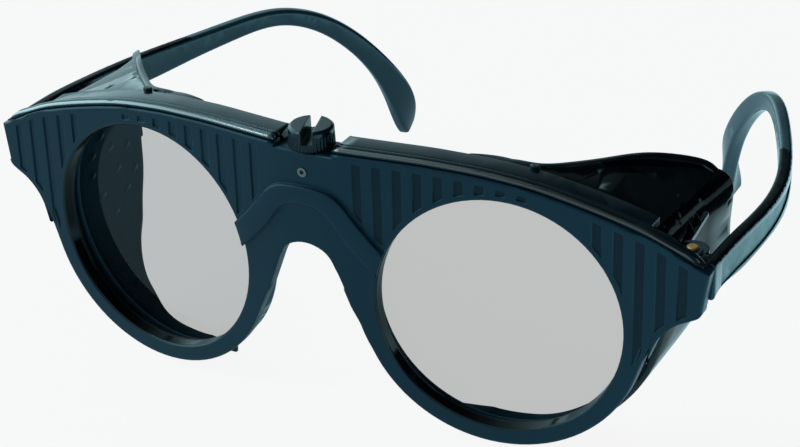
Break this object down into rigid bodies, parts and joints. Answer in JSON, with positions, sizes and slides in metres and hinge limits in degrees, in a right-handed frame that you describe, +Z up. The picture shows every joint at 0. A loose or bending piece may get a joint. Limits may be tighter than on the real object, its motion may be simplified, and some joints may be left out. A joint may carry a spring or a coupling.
{
  "type": "glacier glasses",
  "caption": "Round-lens protective spectacle with a screw-clamped front, tinted glass lenses, scooped side shields and hinged temples with hooked ends.",
  "frame": {"origin": "midway between the two lens centres, on the plane of the front frame's front face at the lens centres", "axes": "+X towards the wearer's left, -Y forward (the way the wearer looks), +Z up"},
  "size_m": [0.1472, 0.1185, 0.0578],
  "materials": {
    "frame_nylon": "satin black nylon, fine moulded grain",
    "rear_nylon": "polished black nylon",
    "shield_nylon": "polished black outside, matt inside",
    "temple_nylon": "satin black nylon with a grained panel",
    "lens_glass": "neutral grey tinted mineral glass",
    "ring_rubber": "matt black",
    "brass": "turned brass",
    "steel": "zinc-plated",
    "knob_nylon": "knurled black nylon"
  },
  "bodies": {
    "frame": {"rear_frame": "rear_nylon", "side_shield_left": "shield_nylon", "side_shield_right": "shield_nylon", "hinge_pin_left": "brass", "hinge_pin_right": "brass", "threaded_insert": "brass"},
    "front": {"front_frame": "frame_nylon", "locating_pin": "steel"},
    "arm_left": {"temple_left": "temple_nylon"},
    "arm_right": {"temple_right": "temple_nylon"},
    "glass_left": {"lens_left": "lens_glass", "lens_ring_left": "ring_rubber"},
    "glass_right": {"lens_right": "lens_glass", "lens_ring_right": "ring_rubber"},
    "washer": {"screw_washer": "steel"},
    "screw": {"clamp_screw_head": "knob_nylon", "clamp_screw_stud": "steel"}
  },
  "joints": [
    {"name": "temple_left_fold", "type": "hinge", "parent": "frame", "child": "arm_left", "pos_m": [0.0672, 0.0126, 0.0115], "axis": [0, 0, 1], "range_deg": [0, 11]},
    {"name": "temple_right_fold", "type": "hinge", "parent": "frame", "child": "arm_right", "pos_m": [-0.0672, 0.0126, 0.0115], "axis": [0, 0, -1], "range_deg": [0, 11]},
    {"name": "front_release", "type": "slide", "parent": "frame", "child": "front", "axis": [0, -1, 0], "range_m": [0, 0.014]},
    {"name": "glass_left_release", "type": "slide", "parent": "frame", "child": "glass_left", "axis": [0.1253, -0.9921, 0], "range_m": [0, 0.007]},
    {"name": "glass_right_release", "type": "slide", "parent": "frame", "child": "glass_right", "axis": [-0.1253, -0.9921, 0], "range_m": [0, 0.007]},
    {"name": "screw_travel", "type": "slide", "parent": "frame", "child": "washer", "axis": [0, 0, 1], "range_m": [0, 0.003]},
    {"name": "screw_turn", "type": "hinge", "parent": "washer", "child": "screw", "pos_m": [0, 0, 0.0288], "axis": [0, 0, 1], "range_deg": [0, 2160]}
  ],
  "couplings": [
    {"joint": "screw_turn", "follows": "screw_travel", "rad_per_m": 12566},
    {"joint": "glass_left_release", "follows": "front_release", "ratio": 0.5},
    {"joint": "glass_right_release", "follows": "front_release", "ratio": 0.5}
  ]
}
